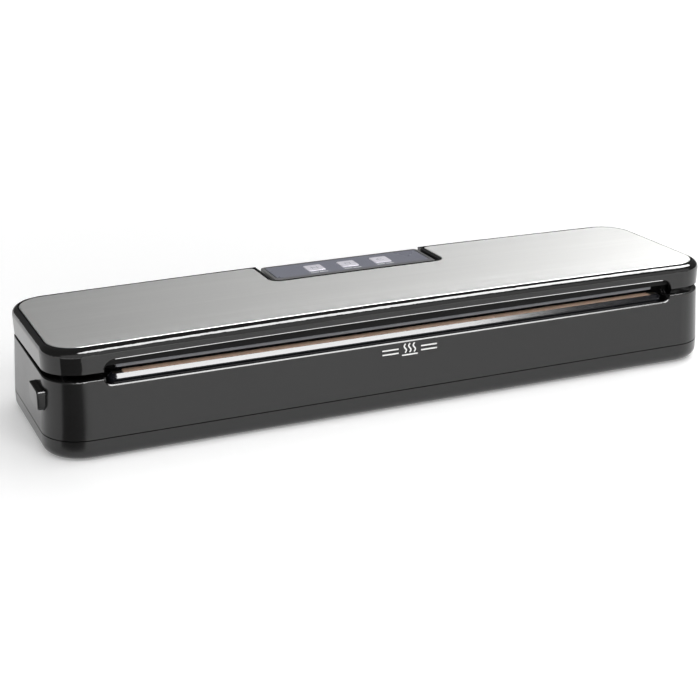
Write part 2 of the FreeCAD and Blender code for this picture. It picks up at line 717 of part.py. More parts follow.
def pump_diaphragm():
    return block(-142, -112, PUMP_Y - 15, PUMP_Y + 15, 29.0, 30.5, 2.0)


def pump_valve_cover():
    cover = block(-142, -112, PUMP_Y - 15, PUMP_Y + 15, 30.5, 36.5, 2.0)
    barbs = [rod(-150, PUMP_Y + dy, 33.4, 1.95, 9, "X") for dy in (-5, 7)]
    bores = [rod(-151, PUMP_Y + dy, 33.4, 1.2, 14, "X") for dy in (-5, 7)]
    return join([cover] + barbs).cut(bores)


def air_hose():
    start = -CHAMBER_HALF_X - 5.5
    route = [(start, PORT_Y, PORT_Z), (-168, PORT_Y, PORT_Z), (-168, PUMP_Y - 5, 33.4),
             (-143.0, PUMP_Y - 5, 33.4)]
    return tube(route, 3.2, 2.0)


def transformer_core():
    core = block(84, 128, 14, 32, 5.0, 36.0)
    return cut(core, [block(x, x + 7, 10, 40, 12, 29) for x in (91, 114)])


def transformer_coil():
    coil = block(91.3, 120.7, 5, 41, 12.3, 28.7, 3.0)
    return coil.cut(block(97.8, 114.2, 13.8, 32.2, 5, 40))


def main_board():
    board = block(-56, 66, 5, 43, 9.0, 10.6, 1.5)
    return cut(board, [rod(x, y, 8, 1.6, 4) for x in (-50, 60) for y in (9, 38)])


def board_parts():
    capacitor = rod(-30, 24, 10.6, 8.0, 22)
    capacitor = capacitor.makeFillet(0.8, [e for e in capacitor.Edges if min(v.Z for v in e.Vertexes) > 32])
    relays = [block(x, x + 15, 12, 31, 10.6, 26, 0.8) for x in (-5, 15)]
    connector = block(40, 52, 30, 38, 10.6, 20, 0.5)
    fuse = rod(38, 14, 13.4, 2.6, 18, "X")
    return Part.makeCompound([capacitor] + relays + [connector, fuse])


def power_inlet():
    half_x, half_z = 11.5, 7.0
    body = block(INLET_X - half_x, INLET_X + half_x, 33, INLET_FACE_Y, INLET_Z - half_z,
                 INLET_Z + half_z, 3.0, "Y")
    flange = block(INLET_X - 15, INLET_X + 15, 44.5, 46.9, INLET_Z - 10, INLET_Z + 10, 1.0, "Y")
    lobes = [rod(INLET_X + dx, 36.5, INLET_Z, 4.4, 20, "Y") for dx in (-INLET_PIN_X, INLET_PIN_X)]
    waist = block(INLET_X - INLET_PIN_X, INLET_X + INLET_PIN_X, 36.5, 56, INLET_Z - 3.4, INLET_Z + 3.4)
    holes = [rod(INLET_X + dx, 30, INLET_Z, 1.2, 10, "Y") for dx in (-INLET_PIN_X, INLET_PIN_X)]
    return cut(join([body, flange]), lobes + [waist] + holes)


def inlet_pins():
    return Part.makeCompound([rod(INLET_X + dx, 29, INLET_Z, 1.15, 15.5, "Y")
                              for dx in (-INLET_PIN_X, INLET_PIN_X)])


def lid_switch():
    """A microswitch on a post of the bottom pan, its lever just under the right-hand hook."""
    body = block(174.8, 184.5, -29, -23, SWITCH_BOTTOM, 29.6, 0.5)
    lever = block(175, 184, -27.5, -24.5, 31.3, HOOK_BOTTOM - 0.2)
    return join([body, lever, block(175, 176, -27.5, -24.5, 29.4, 31.4)])


def mains_leads():
    leads = []
    for i, dx in enumerate((-INLET_PIN_X, INLET_PIN_X)):
        x = INLET_X + dx
        y = -1.0 - 3.0 * i
        leads.append(tube([(x, 28.9, INLET_Z), (x, 16, INLET_Z - 2), (x - 4, y, 10), (118, y, 7.5),
                           (80, y, 8), (62 - 3 * i, y + 8, 14), (57 - 3 * i, 10, 11.6)], 1.0))
    return Part.makeCompound(leads)


def motor_leads():
    leads = []
    for dy in (-8, 8):
        y = PUMP_Y + dy
        leads.append(tube([(MOTOR_X1 + 4.1, y, 12.3), (-64, y, 12.5), (-58, y, 15), (-52.5, y, 11.6)], 0.8))
    return Part.makeCompound(leads)


def heater_leads():
    left = tube([(-154.7, -42.8, 26.9), (-154.7, -41, 16), (-144, -33, 9), (-105, -22, 7.5),
                 (-70, -14, 8), (-55, -2, 14), (-50, 15, 11.6)], 1.0)
    right = tube([(154.7, -42.8, 26.9), (154.7, -41, 16), (144, -33, 9), (110, -22, 7.5),
                  (80, -16, 8), (60, -9, 12), (35, -2, 14), (30, 8, 11.6)], 1.0)
    return Part.makeCompound([left, right])


# ---------------------------------------------------------------- lid

def lid_shell():
    u = LID_UNDERCUT
    hx, hy, r = LID_HALF_X, LID_HALF_Y, CORNER_R - 1.5
    shell = tapered(hx - u, hy - u, r - u, LID_BOTTOM, hx, hy, r, LID_TOP + 2)
    shell = round_top_edges(shell.common(under_lid_top(0)), LID_EDGE_R, LID_TOP - LID_TOP_FALL - 3)
    w = LID_WALL
    cavity = lid_outline(w + u, w, 0.0, LID_BOTTOM - 1, LID_CEILING)
    bosses = [rod(x, y, LINER_TOP, 3.2, LID_CEILING - LINER_TOP + 0.5) for x, y in LID_SCREWS]
    shell = join([shell.cut(cavity.cut(notch_wall())), slot_bead()] + bosses)
    seat = steel_outline(0)
    groove = steel_outline(STEEL_GROOVE).cut([seat, under_lid_top(STEEL_GROOVE_DEPTH)])
    seat = seat.cut(under_lid_top(STEEL_THICK))
    pilots = [rod(x, y, LINER_TOP - 1, 1.4, 7.0) for x, y in LID_SCREWS]
    return cut(shell, [notch(), console_sweep(), seat, groove, lid_slot(), base_knuckle_clearance(),
                       lid_knuckle_seat()] + pilots)


def notch_wall():
    """The thick wall along the notch's front, which the console's sweep hollows out."""
    reach = NOTCH_HALF_X + LID_WALL
    return block(NOTCH_X - reach, NOTCH_X + reach, NOTCH_FRONT_Y - NOTCH_WALL, NOTCH_FRONT_Y, 40, LID_CEILING)


def notch():
    """The console's notch, flared at the rear so that the lid's two ears end rounded."""
    ny, rear = NOTCH_FRONT_Y, LID_HALF_Y + 0.1
    left, right = NOTCH_X - NOTCH_HALF_X, NOTCH_X + NOTCH_HALF_X
    points = [(left, ny), (right, ny), (right, rear), (right + 8, rear), (right + 8, rear + 9),
              (left - 8, rear + 9), (left - 8, rear), (left, rear)]
    radii = [NOTCH_CORNER_R, NOTCH_CORNER_R, NOTCH_EAR_R, 0, 0, 0, 0, NOTCH_EAR_R]
    return extrude(points, radii, 40, LID_TOP + 5)


def console_sweep():
    """Room for the console's front edge while the lid swings."""
    reach = math.hypot(HINGE_Y - CONSOLE_FRONT_Y, CONSOLE_TOP - HINGE_Z) + 0.45
    return rod(NOTCH_X - NOTCH_HALF_X, HINGE_Y, HINGE_Z, reach, 2 * NOTCH_HALF_X, "X")


def base_knuckle_clearance():
    start = HINGE_X - LID_KNUCKLE_HALF - KNUCKLE_END_GAP - BASE_KNUCKLE_LENGTH - 0.4
    end = HINGE_X + LID_KNUCKLE_HALF + KNUCKLE_END_GAP + BASE_KNUCKLE_LENGTH + 0.4
    return knuckle_zone(start, end, KNUCKLE_R + 0.5)


def lid_knuckle_seat():
    reach = LID_KNUCKLE_HALF + 0.3
    return both_sides(block(HINGE_X - reach, HINGE_X + reach, 30, LID_HALF_Y + 2, 40, LINER_BOTTOM + 0.1))


def steel_outline(grow):
    """The steel plate's plan through the lid's top, or one that much larger all round."""
    return lid_outline(STEEL_INSET - grow, NOTCH_RIM - grow, NOTCH_EAR_R, 50, LID_TOP + 5,
                       STEEL_END_INSET - grow)


def steel_plate():
    plate = round_top_edges(steel_outline(0).common(under_lid_top(0)), STEEL_EDGE_R, 50.1)
    return plate.cut(under_lid_top(STEEL_THICK))


def lid_liner():
    clearance = LID_WALL + LID_UNDERCUT + 0.25
    plate = lid_outline(clearance, LID_WALL + 0.3, 0.0, LINER_BOTTOM, LINER_TOP)
    reach = NOTCH_HALF_X + LID_WALL + 0.3
    plate = plate.cut(block(NOTCH_X - reach, NOTCH_X + reach, NOTCH_FRONT_Y - NOTCH_WALL - 0.3, 60, 40, 60))
    front = -LID_HALF_Y + clearance
    wall = block(-167, 167, front, front + 1.6, LINER_BOTTOM, LID_CEILING - 0.2)
    liner = join([plate, wall])
    holes = [rod(x, y, 40, 1.6, 12) for x, y in LID_SCREWS]
    strip_seat = block(STRIP_LEFT_X, STRIP_RIGHT_X, TAPE_FRONT_Y, STRIP_REAR_Y, 44, LINER_BOTTOM + 1)
    gasket_seat = gasket_ring(0.2, 44, LINER_BOTTOM + 0.6)
    return cut(liner, [strip_seat, gasket_seat, base_knuckle_clearance()] + holes)


def upper_gasket():
    body = gasket_ring(0, GASKET_MEET_Z + 0.2, LINER_BOTTOM + 0.6)
    low = [e for e in body.Edges if max(v.Z for v in e.Vertexes) < GASKET_MEET_Z + 0.3]
    return body.makeFillet(1.0, low)


def pressure_strip():
    strip = block(STRIP_LEFT_X, STRIP_RIGHT_X, TAPE_FRONT_Y, STRIP_REAR_Y, STRIP_BOTTOM, LINER_BOTTOM + 1)
    low = [e for e in strip.Edges if max(v.Z for v in e.Vertexes) < STRIP_BOTTOM + 0.1 and e.Length > 50]
    return strip.makeFillet(0.6, low)


def lid_hinge_arms():
    start = HINGE_X - LID_KNUCKLE_HALF
    width = 2 * LID_KNUCKLE_HALF
    barrel = rod(start, HINGE_Y, HINGE_Z, KNUCKLE_R, width, "X")
    leaf = block(start, start + width, 33, HINGE_Y, 43.2, LINER_BOTTOM)
    arm = join([barrel, leaf]).cut(rod(start - 1, HINGE_Y, HINGE_Z, PIN_R + 0.06, width + 2, "X"))
    return both_sides(arm)


def hinge_pins():
    reach = LID_KNUCKLE_HALF + KNUCKLE_END_GAP + BASE_KNUCKLE_LENGTH
    return knuckle_zone(HINGE_X - reach, HINGE_X + reach, PIN_R)


def latch_hooks():
    flange = block(-HOOK_X - 3.4, -HOOK_X + 4.6, -31, -21, 44.2, LINER_BOTTOM, 1.0)
    tongue = block(-HOOK_X - 0.6, -HOOK_X + 0.6, -29, -23, HOOK_BOTTOM, 44.4)
    barb = block(-HOOK_X + 0.4, -HOOK_X + 2.2, -29, -23, HOOK_BOTTOM, HOOK_BOTTOM + 0.8)
    return at_both_latches(join([flange, tongue, barb]))


def lid_screws():
    screws = []
    for x, y in LID_SCREWS:
        screws.append(join([rod(x, y, LINER_BOTTOM - 0.8, 2.8, 0.8), rod(x, y, LINER_BOTTOM - 0.1, 1.3, 8)]))
    return Part.makeCompound(screws)


# ---------------------------------------------------------------- all parts

BASE_PARTS = {
    "base_shell": base_shell, "bottom_pan": bottom_pan, "rubber_feet": rubber_feet,
    "case_screws": case_screws, "seal_bar": seal_bar, "heating_ribbon": heating_ribbon,
    "sealing_tape": sealing_tape, "heater_terminals": heater_terminals, "lower_gasket": lower_gasket,
    "vacuum_nozzle": vacuum_nozzle, "console_housing": console_housing, "panel_overlay": panel_overlay,
    "key_board": key_board, "key_switches": key_switches, "pump_motor": pump_motor,
    "motor_shaft": motor_shaft, "crank_disc": crank_disc, "pump_crankcase": pump_crankcase,
    "pump_diaphragm": pump_diaphragm, "pump_valve_cover": pump_valve_cover, "air_hose": air_hose,
    "transformer_core": transformer_core, "transformer_coil": transformer_coil, "main_board": main_board,
    "board_parts": board_parts, "power_inlet": power_inlet, "inlet_pins": inlet_pins,
    "lid_switch": lid_switch, "mains_leads": mains_leads, "motor_leads": motor_leads,
    "heater_leads": heater_leads, "hinge_pins": hinge_pins, "release_button": release_button,
    "latch_slider_left": latch_slider_left, "latch_slider_right": latch_slider_right,
    "release_rod": release_rod, "release_spring": release_spring,
}

LID_PARTS = {
    "lid_shell": lid_shell, "steel_plate": steel_plate, "lid_liner": lid_liner,
    "upper_gasket": upper_gasket, "pressure_strip": pressure_strip, "lid_hinge_arms": lid_hinge_arms,
    "latch_hooks": latch_hooks, "lid_screws": lid_screws,
}

KEY_NAMES = ["key_left", "key_middle", "key_right"]


def all_parts():
    parts = {name: make() for name, make in BASE_PARTS.items()}
    for name, (x, y) in zip(KEY_NAMES, key_centres()):
        parts[name] = key_cap(x, y)
    for name, make in LID_PARTS.items():
        parts[name] = open_slightly(make())
    return parts


os.makedirs("parts", exist_ok=True)
for name, shape in all_parts().items():
    shape.exportStep("parts/" + name + ".step")
    print(name, "solids", len(shape.Solids), "valid", shape.isValid(), "volume", round(shape.Volume, 1))
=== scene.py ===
import json
import math

import bmesh
import bpy
from mathutils import Matrix, Vector


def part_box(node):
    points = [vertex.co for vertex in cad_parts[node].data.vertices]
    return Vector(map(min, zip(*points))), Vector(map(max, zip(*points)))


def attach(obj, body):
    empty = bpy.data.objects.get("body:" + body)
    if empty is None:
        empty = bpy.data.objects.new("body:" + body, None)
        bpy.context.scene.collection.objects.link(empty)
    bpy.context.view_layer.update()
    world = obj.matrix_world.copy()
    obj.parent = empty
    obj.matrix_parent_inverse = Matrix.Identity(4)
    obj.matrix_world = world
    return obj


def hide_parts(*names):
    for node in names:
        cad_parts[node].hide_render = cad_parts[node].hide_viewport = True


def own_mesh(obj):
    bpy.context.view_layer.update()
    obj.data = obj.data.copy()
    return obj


# A countertop vacuum sealer on a white table.  Metres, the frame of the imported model:
# +X along the length, the bag slot facing -Y, +Z up, the table at Z 0.

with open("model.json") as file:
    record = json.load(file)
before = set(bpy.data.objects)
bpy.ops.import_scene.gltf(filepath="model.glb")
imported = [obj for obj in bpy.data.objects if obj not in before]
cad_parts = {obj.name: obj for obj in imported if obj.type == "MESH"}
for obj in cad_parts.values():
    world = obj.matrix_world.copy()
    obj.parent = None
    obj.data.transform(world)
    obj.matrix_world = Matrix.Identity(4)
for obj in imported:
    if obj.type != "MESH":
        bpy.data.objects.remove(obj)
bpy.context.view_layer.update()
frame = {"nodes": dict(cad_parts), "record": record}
nodes = frame["nodes"]
MM = 0.001

# ---- camera ----
CAMERA_PLACE = Vector((-0.3191, -0.7051, 0.2957))
CAMERA_YAW = math.radians(23.511)
CAMERA_PITCH = math.radians(19.822)
CAMERA_ROLL = math.radians(-0.157)
CAMERA_LENS = 76.553
SENSOR = 36.0

# ---- light ----
TABLE_SIZE = 14.0
WORLD_LEVEL = 0.12
OVERHEAD_PLACE = (0.464, -0.227, 0.8)
OVERHEAD_SIZE = (1.67, 0.46)
OVERHEAD_TURN = math.radians(37)
OVERHEAD_LEVEL = 20.0
FILL = {"place": (0.9, 0.4, 2.0), "aim": (0, 0, 0), "size": (2.2, 2.2), "level": 1.6}
FRONT = {"place": (-0.3, -1.7, 1.45), "aim": (0, 0, 0), "size": (2.4, 1.2), "level": 4.6}
HORIZON = {"place": (0, -3, 1.3), "aim": (0, 0, 1.3), "size": (12, 2.6), "level": 0.8}
CARD_INSET = 14 * MM
CARD_REACH = (30 * MM, 600 * MM)
CARD_ANGLES = (math.radians(-92), math.radians(-155))
CARD_HEIGHT = 1 * MM
TABLE_GLOW = 0.24
TABLE_FAR_GLOW = 0.9
TABLE_GLOW_START = 0.2
TABLE_GLOW_END = 1.5
BACKGROUND_LEVEL = 1.0


# ------------------------------------------------------------------ materials

class Look:
    """A material made of one Principled shader and the nodes that feed it."""

    def __init__(self, name, **sockets):
        self.material = bpy.data.materials.new(name)
        self.material.use_nodes = True
        self.tree = self.material.node_tree
        self.shader = self.tree.nodes["Principled BSDF"]
        for socket, value in sockets.items():
            self.shader.inputs[socket.replace("_", " ")].default_value = value
        self.place = self.node("ShaderNodeTexCoord").outputs["Object"]
        self.normal = None

    def node(self, kind, **settings):
        made = self.tree.nodes.new(kind)
        for name, value in settings.items():
            setattr(made, name, value)
        return made

    def link(self, source, target):
        self.tree.links.new(source, target)

    def stretched(self, scale, turn=(0, 0, 0)):
        mapping = self.node("ShaderNodeMapping")
        mapping.inputs["Scale"].default_value = scale
        mapping.inputs["Rotation"].default_value = turn
        self.link(self.place, mapping.inputs["Vector"])
        return mapping.outputs["Vector"]

    def noise(self, scale, detail=3.0, stretch=(1, 1, 1), rough=0.5):
        made = self.node("ShaderNodeTexNoise")
        made.inputs["Scale"].default_value = scale
        made.inputs["Detail"].default_value = detail
        made.inputs["Roughness"].default_value = rough
        self.link(self.stretched(stretch), made.inputs["Vector"])
        return made.outputs["Fac"]

    def cells(self, scale, stretch=(1, 1, 1)):
        made = self.node("ShaderNodeTexVoronoi")
        made.inputs["Scale"].default_value = scale
        self.link(self.stretched(stretch), made.inputs["Vector"])
        return made.outputs["Distance"]

    def bands(self, scale, axis="X", turn=(0, 0, 0), distortion=0.0, profile="SIN"):
        made = self.node("ShaderNodeTexWave", bands_direction=axis, wave_profile=profile)
        made.inputs["Scale"].default_value = scale
        made.inputs["Distortion"].default_value = distortion
        self.link(self.stretched((1, 1, 1), turn), made.inputs["Vector"])
        return made.outputs["Fac"]

    def combine(self, first, second, operation):
        made = self.node("ShaderNodeMath", operation=operation)
        for socket, value in zip(made.inputs, (first, second)):
            if isinstance(value, (int, float)):
                socket.default_value = value
            else:
                self.link(value, socket)
        return made.outputs["Value"]

    def between(self, value, low, high):
        """1 where the value lies between the two, else 0."""
        above = self.combine(value, low, "GREATER_THAN")
        return self.combine(above, self.combine(value, high, "LESS_THAN"), "MULTIPLY")

    def ranged(self, value, low, high, start=0.0, end=1.0):
        """The value from start to end turned into one from low to high."""
        made = self.node("ShaderNodeMapRange")
        made.inputs["From Min"].default_value = start
        made.inputs["From Max"].default_value = end
        made.inputs["To Min"].default_value = low
        made.inputs["To Max"].default_value = high
        self.link(value, made.inputs["Value"])
        return made.outputs["Result"]

    def mixed(self, share, first, second):
        """A colour between two others, each a colour or a socket."""
        made = self.node("ShaderNodeMix", data_type="RGBA")
        self.link(share, made.inputs["Factor"])
        for socket, value in zip(made.inputs[6:8], (first, second)):
            if isinstance(value, tuple):
                socket.default_value = (*value, 1)
            else:
                self.link(value, socket)
        return made.outputs[2]

    def colour(self, share, first, second):
        self.link(self.mixed(share, first, second), self.shader.inputs["Base Color"])

    def roughness(self, value, low, high, start=0.3, end=0.7):
        self.link(self.ranged(value, low, high, start, end), self.shader.inputs["Roughness"])

    def bump(self, height, depth, strength=1.0):
        """Relief of a real depth, on top of the relief that is there already."""
        made = self.node("ShaderNodeBump")
        made.inputs["Strength"].default_value = strength
        made.inputs["Distance"].default_value = depth
        self.link(height, made.inputs["Height"])
        if self.normal is not None:
            self.link(self.normal, made.inputs["Normal"])
        self.normal = made.outputs["Normal"]
        self.link(self.normal, self.shader.inputs["Normal"])

    def along(self, axis):
        """The place along one axis, in metres."""
        split = self.node("ShaderNodeSeparateXYZ")
        self.link(self.place, split.inputs["Vector"])
        return split.outputs[axis]


def moulded(name, dark, light, rough, grain=0.012 * MM, **sockets):
    """Moulded plastic: a fine spark-eroded grain, faint flow marks and handling marks."""
    look = Look(name, **sockets)
    look.colour(look.noise(30, 4), dark, light)
    marks = look.noise(22, 5, stretch=(1, 1.6, 1.6), rough=0.62)
    look.roughness(marks, rough * 0.88, rough * 1.14)
    look.bump(look.noise(3200, 2), grain)
    look.bump(look.noise(45, 2), grain * 3, 0.5)
    return look


def case_black():
    return moulded("case_black", (0.0045, 0.0045, 0.0044), (0.006, 0.006, 0.0059), 0.22,
                   grain=0.004 * MM)


def console_grey():
    return moulded("console_grey", (0.150, 0.150, 0.152), (0.172, 0.172, 0.175), 0.36)


def lid_black():
    return moulded("lid_black", (0.006, 0.006, 0.0059), (0.0085, 0.0085, 0.0083), 0.05,
                   grain=0.002 * MM)


def inner_black():
    return moulded("inner_black", (0.004, 0.004, 0.004), (0.007, 0.007, 0.007), 0.5,
                   grain=0.03 * MM, Specular_IOR_Level=0.12)


SCRATCH_STRETCH = 90
GRIND_ACROSS = 140.0
GRIND_ALONG = 2.5


def brushed(name, dark, light, rough, axis=0, streak=1400.0, depth=0.004 * MM, uneven=0.18,
            **sockets):
    """Metal brushed along one axis: long fine scratches, and bands of slightly different grind."""
    look = Look(name, Metallic=1.0, **sockets)
    fine = [streak] * 3
    fine[axis] = streak / SCRATCH_STRETCH
    broad = [GRIND_ACROSS] * 3
    broad[axis] = GRIND_ALONG
    scratches = look.noise(1, 3, stretch=tuple(fine), rough=0.6)
    grind = look.noise(1, 3, stretch=tuple(broad))
    look.colour(look.combine(scratches, grind, "MULTIPLY"), dark, light)
    look.roughness(grind, rough * (1 - uneven), rough * (1 + uneven))
    look.bump(scratches, depth)
    return look


def brushed_top():
    """Brushed along the length, so its highlight is drawn out across it, along the tangent."""
    look = brushed("brushed_top", (0.52, 0.52, 0.514), (0.66, 0.66, 0.652), 0.308, depth=0.002 * MM,
                   uneven=0.02, Anisotropic=0.88)
    direction = look.node("ShaderNodeCombineXYZ")
    direction.inputs["Y"].default_value = 1.0
    look.link(direction.outputs["Vector"], look.shader.inputs["Tangent"])
    return look


def seal_bar_black():
    # The faint blue in both colours is painted reflection: it stands in for the bluish sheen of the
    # surroundings in the bar's glossy front.
    return moulded("seal_bar_black", (0.006, 0.0062, 0.008), (0.009, 0.0094, 0.012), 0.13,
                   grain=0.004 * MM)


def heater_metal():
    return brushed("heater_metal", (0.32, 0.29, 0.26), (0.62, 0.57, 0.5), 0.3, streak=2600.0)


def tape_brown():
    """Glass cloth with a non-stick coating: a plain weave that shows through the brown film."""
    look = Look("tape_brown", Coat_Weight=0.25, Coat_Roughness=0.22)
    skew = (0, 0, math.radians(38))
    warp = look.bands(560, "X", turn=skew)
    weft = look.bands(560, "Y", turn=skew)
    weave = look.combine(warp, weft, "MAXIMUM")
    worn = look.noise(60, 4, stretch=(1, 3, 1))
    look.colour(weave, (0.30, 0.17, 0.11), look.mixed(worn, (0.60, 0.41, 0.30), (0.72, 0.55, 0.43)))
    look.roughness(weave, 0.28, 0.46, 0.0, 1.0)
    look.bump(weave, 0.04 * MM)
    return look


def brass():
    return brushed("brass", (0.45, 0.29, 0.10), (0.78, 0.56, 0.24), 0.28, axis=2, streak=2200.0)


def gasket_foam():
    """Closed-cell foam: fine pores under a dull skin."""
    look = Look("gasket_foam")
    pores = look.cells(1500)
    look.colour(pores, (0.010, 0.010, 0.011), (0.045, 0.045, 0.047))
    look.roughness(look.noise(40), 0.74, 0.9)
    look.bump(pores, 0.2 * MM, 0.8)
    look.bump(look.noise(300), 0.1 * MM)
    return look


def silicone_grey():
    look = Look("silicone_grey", Sheen_Weight=0.15)
    look.colour(look.noise(90, 4), (0.10, 0.102, 0.112), (0.145, 0.148, 0.160))
    look.roughness(look.noise(50, 4), 0.36, 0.52)
    look.bump(look.noise(1800), 0.02 * MM)
    return look


def foot_rubber():
    look = Look("foot_rubber", Roughness=0.78)
    look.colour(look.noise(120, 5), (0.013, 0.013, 0.013), (0.034, 0.033, 0.032))
    look.bump(look.noise(1400, 3), 0.06 * MM)
    return look


def screw_steel():
    return brushed("screw_steel", (0.42, 0.42, 0.43), (0.72, 0.72, 0.74), 0.26, axis=1,
                   streak=1800.0)


def panel_gloss():
    """Printed film over the key panel, its blue-grey ink flecked with fine metal flake."""
    look = Look("panel_gloss", Coat_Weight=0.3, Coat_Roughness=0.12)
    flake = look.cells(5200)
    tint = look.ranged(flake, 0.0, 1.0, 0.1, 0.5)
    look.colour(tint, (0.30, 0.308, 0.37), (0.21, 0.216, 0.262))
    look.roughness(look.noise(35, 4), 0.26, 0.38)
    look.bump(look.noise(900, 2), 0.008 * MM)
    return look


def key_silver():
    look = Look("key_silver", Coat_Weight=0.2, Coat_Roughness=0.2)
    look.colour(look.noise(220, 3), (0.74, 0.72, 0.79), (0.84, 0.82, 0.89))
    look.roughness(look.noise(60, 3), 0.3, 0.42)
    look.bump(look.noise(2800, 2), 0.01 * MM)
    return look


def board_green():
    """Circuit board: tracks under green solder resist, with rows of soldered pads."""
    look = Look("board_green", Roughness=0.32, Coat_Weight=0.3, Coat_Roughness=0.15)
    tracks = look.node("ShaderNodeTexBrick", offset=0.37, offset_frequency=3)
    tracks.inputs["Color1"].default_value = (0.012, 0.12, 0.045, 1)
    tracks.inputs["Color2"].default_value = (0.008, 0.075, 0.028, 1)
    tracks.inputs["Mortar"].default_value = (0.02, 0.19, 0.07, 1)
    tracks.inputs["Scale"].default_value = 120.0
    tracks.inputs["Mortar Size"].default_value = 0.03
    look.link(look.place, tracks.inputs["Vector"])
    pads = look.ranged(look.cells(420, stretch=(1, 1, 0.01)), 1.0, 0.0, 0.14, 0.17)
    look.colour(pads, tracks.outputs["Color"], (0.55, 0.54, 0.50))
    look.link(look.ranged(pads, 0.0, 0.85), look.shader.inputs["Metallic"])
    look.bump(tracks.outputs["Fac"], 0.03 * MM)
    return look


SLEEVE_SPAN = (-40 * MM, -22 * MM)
SOCKET_SPAN = (34 * MM, 60 * MM)


def component_dark():
    """The parts on the boards: dark, but for a blue sleeve and pale sockets at known places."""
    look = moulded("component_dark", (0.02, 0.02, 0.022), (0.035, 0.035, 0.038), 0.42)
    sleeve = look.between(look.along("X"), *SLEEVE_SPAN)
    socket = look.between(look.along("X"), *SOCKET_SPAN)
    speckle = look.noise(160, 4)
    plastic = look.mixed(speckle, (0.018, 0.018, 0.02), (0.034, 0.034, 0.037))
    sleeved = look.mixed(sleeve, plastic, (0.02, 0.035, 0.12))
    look.colour(socket, sleeved, (0.62, 0.60, 0.55))
    return look


def pump_plastic():
    return moulded("pump_plastic", (0.50, 0.49, 0.45), (0.64, 0.63, 0.58), 0.4, grain=0.02 * MM,
                   Subsurface_Weight=0.1, Subsurface_Scale=2 * MM)


def hose_clear():
    look = Look("hose_clear", Transmission_Weight=0.55, IOR=1.41)
    look.colour(look.noise(70, 3), (0.66, 0.66, 0.62), (0.80, 0.80, 0.77))
    look.roughness(look.noise(120, 3), 0.18, 0.34)
    look.bump(look.noise(500), 0.03 * MM)
    return look


def core_steel():
    """A stack of thin laminations, lacquered, with a little rust in scattered patches."""
    look = Look("core_steel", Metallic=0.8)
    sheets = look.bands(1000, "Y")
    rust = look.ranged(look.noise(90, 5, rough=0.65), 0.0, 0.7, 0.55, 0.72)
    steel = look.mixed(sheets, (0.05, 0.05, 0.055), (0.16, 0.16, 0.17))
    look.colour(rust, steel, (0.16, 0.06, 0.025))
    look.roughness(look.noise(60), 0.36, 0.6)
    look.bump(sheets, 0.08 * MM)
    return look


def coil_wrap():
    look = Look("coil_wrap", Coat_Weight=0.35, Coat_Roughness=0.2)
    laps = look.bands(70, "Z", distortion=0.6, profile="SAW")
    look.colour(laps, (0.42, 0.27, 0.03), (0.72, 0.52, 0.10))
    look.roughness(look.noise(90, 4), 0.26, 0.42)
    look.bump(laps, 0.12 * MM)
    look.bump(look.noise(420, 3), 0.03 * MM)
    return look


def lead_red():
    look = Look("lead_red")
    look.colour(look.noise(110, 4), (0.28, 0.014, 0.01), (0.46, 0.03, 0.02))
    look.roughness(look.noise(60, 4), 0.3, 0.48)
    look.bump(look.noise(900, 3), 0.03 * MM)
    return look


def ink(name, thin, full, smooth, rough):
    """Pad-printed ink, a little thin in places."""
    look = Look(name)
    look.colour(look.noise(900, 4), thin, full)
    look.roughness(look.noise(300), smooth, rough)
    look.bump(look.noise(2500), 0.006 * MM)
    return look.material


def print_white():
    return ink("print_white", (0.60, 0.60, 0.59), (0.80, 0.80, 0.79), 0.44, 0.6)


def print_grey():
    return ink("print_grey", (0.30, 0.31, 0.36), (0.42, 0.43, 0.48), 0.4, 0.55)


SLOT_LOOKS = [case_black, console_grey, lid_black, inner_black, brushed_top, seal_bar_black,
              heater_metal, tape_brown, brass, gasket_foam, silicone_grey, foot_rubber, screw_steel,
              panel_gloss, key_silver, board_green, component_dark, pump_plastic, hose_clear,
              core_steel, coil_wrap, lead_red]


def finish_nodes():
    """Gives every node the material that its slot in the record names."""
    looks = {make.__name__: make().material for make in SLOT_LOOKS}
    for part in frame["record"]["subparts"]:
        piece = nodes[part["node"]]
        for slot in piece.material_slots:
            slot.material = looks[part["material_slot"]]


def add_object(name, data):
    made = bpy.data.objects.new(name, data)
    bpy.context.scene.collection.objects.link(made)
    return made


def add_mesh(name, mesh, material):
    """The bmesh as an object, with its faces turned outward."""
    bmesh.ops.recalc_face_normals(mesh, faces=mesh.faces)
    data = bpy.data.meshes.new(name)
    mesh.to_mesh(data)
    mesh.free()
    data.materials.append(material)
    return add_object(name, data)


def add_flat(name, corners, material):
    """A flat four-cornered sheet that is part of the studio, not of the object."""
    data = bpy.data.meshes.new(name)
    data.from_pydata(corners, [], [(0, 1, 2, 3)])
    data.materials.append(material)
    made = add_object(name, data)
    return made


# ------------------------------------------------------------------ printed marks

# The strokes of a mark, and their widths, are in millimetres.
PRINT_THICK = 0.03 * MM
CAPTION_GAP = 1.7 * MM
CAPTION_WIDTH = 0.85
HEAT_SIGN_Z = 33.4 * MM
HEAT_SIGN_WIDTH = 0.75
WALL_DRAFT = 1.83 * MM


def strip(mesh, points, width):
    """Adds a flat stroke with round ends along the points, in the XY plane, to a bmesh."""
    outline_left, outline_right = [], []
    count = len(points)
    for i, point in enumerate(points):
        before = points[max(i - 1, 0)]
        after = points[min(i + 1, count - 1)]
        ahead = (after - before).normalized()
        side = Vector((-ahead.y, ahead.x)) * width / 2
        outline_left.append(point + side)
        outline_right.append(point - side)
    ahead = (points[-1] - points[-2]).normalized()
    back = (points[0] - points[1]).normalized()
    loop = outline_right + round_end(points[-1], ahead, width) + outline_left[::-1]
    loop += round_end(points[0], back, width)
    add_slab(mesh, loop)


def round_end(centre, ahead, width, steps=5):
    side = Vector((-ahead.y, ahead.x))
    turns = [math.pi * (i + 1) / (steps + 1) for i in range(steps)]
    return [centre + (ahead * math.sin(t) - side * math.cos(t)) * width / 2 for t in turns]


